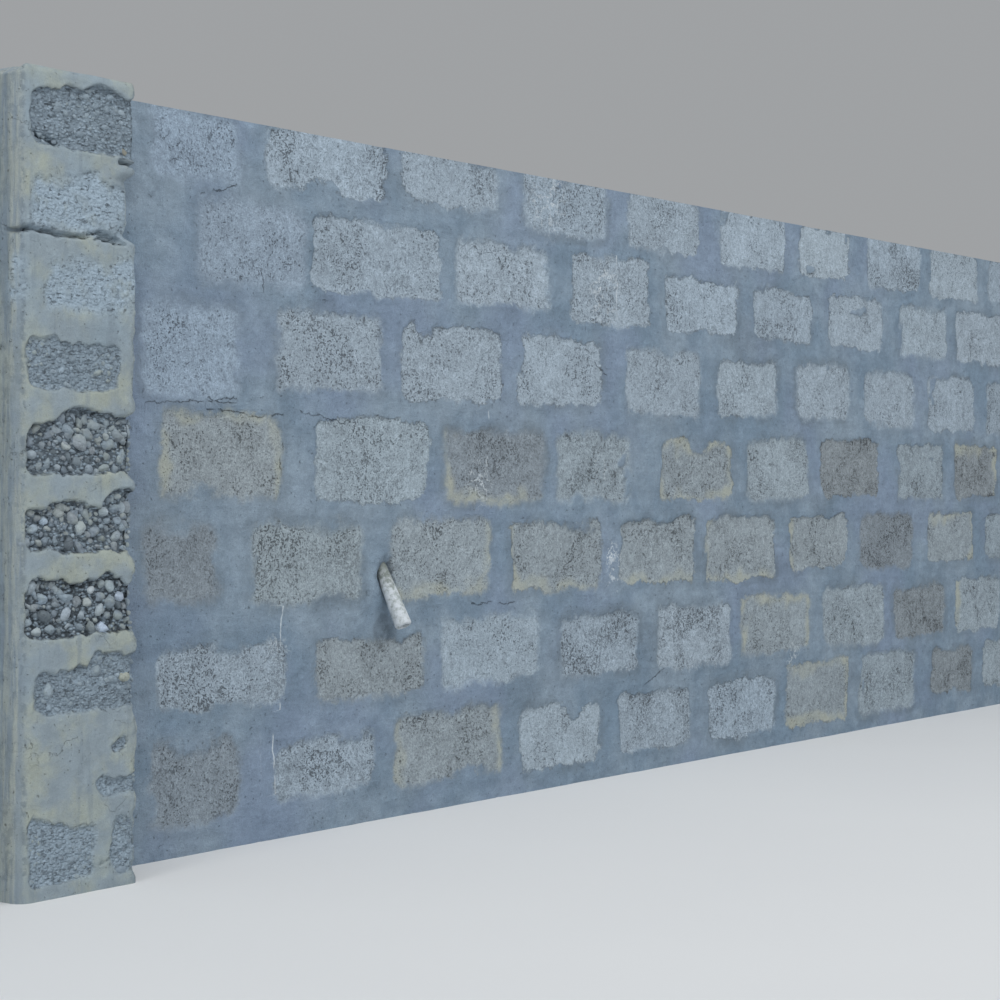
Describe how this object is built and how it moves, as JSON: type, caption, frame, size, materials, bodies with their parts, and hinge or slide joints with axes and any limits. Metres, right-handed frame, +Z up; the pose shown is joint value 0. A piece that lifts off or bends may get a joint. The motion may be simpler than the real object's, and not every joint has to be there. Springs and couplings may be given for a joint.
{
  "type": "concrete block wall with piers",
  "caption": "Boundary wall of mortared concrete blocks in bays between projecting slab piers, with short weep pipes.",
  "frame": {"origin": "ground level under the middle pier, halfway through the pier's depth", "axes": "+X along the wall to the right as seen from the front, -Y out of the front face, +Z up"},
  "size_m": [10.013, 0.325, 1.435],
  "materials": {
    "block": "weathered open-textured concrete block",
    "mortar": "trowelled cement mortar, smeared over the block edges",
    "pier_slab": "rough gravel concrete, eroded",
    "pier_mortar": "smooth pale cement mortar",
    "pipe": "weathered grey-white plastic"
  },
  "bodies": {
    "root": {"left_bay_course_1": "block", "left_bay_course_2": "block", "left_bay_course_3": "block", "left_bay_course_4": "block", "left_bay_course_5": "block", "left_bay_course_6": "block", "left_bay_course_7": "block", "right_bay_course_1": "block", "right_bay_course_2": "block", "right_bay_course_3": "block", "right_bay_course_4": "block", "right_bay_course_5": "block", "right_bay_course_6": "block", "right_bay_course_7": "block", "left_bay_mortar_beds": "mortar", "left_bay_weep_pipe": "pipe", "right_bay_mortar_beds": "mortar", "right_bay_weep_pipe": "pipe", "left_pier_slabs": "pier_slab", "left_pier_mortar_beds": "pier_mortar", "left_pier_mortar_cap": "pier_mortar", "middle_pier_slabs": "pier_slab", "middle_pier_mortar_beds": "pier_mortar", "middle_pier_mortar_cap": "pier_mortar", "right_pier_slabs": "pier_slab", "right_pier_mortar_beds": "pier_mortar", "right_pier_mortar_cap": "pier_mortar"}
  },
  "joints": []
}
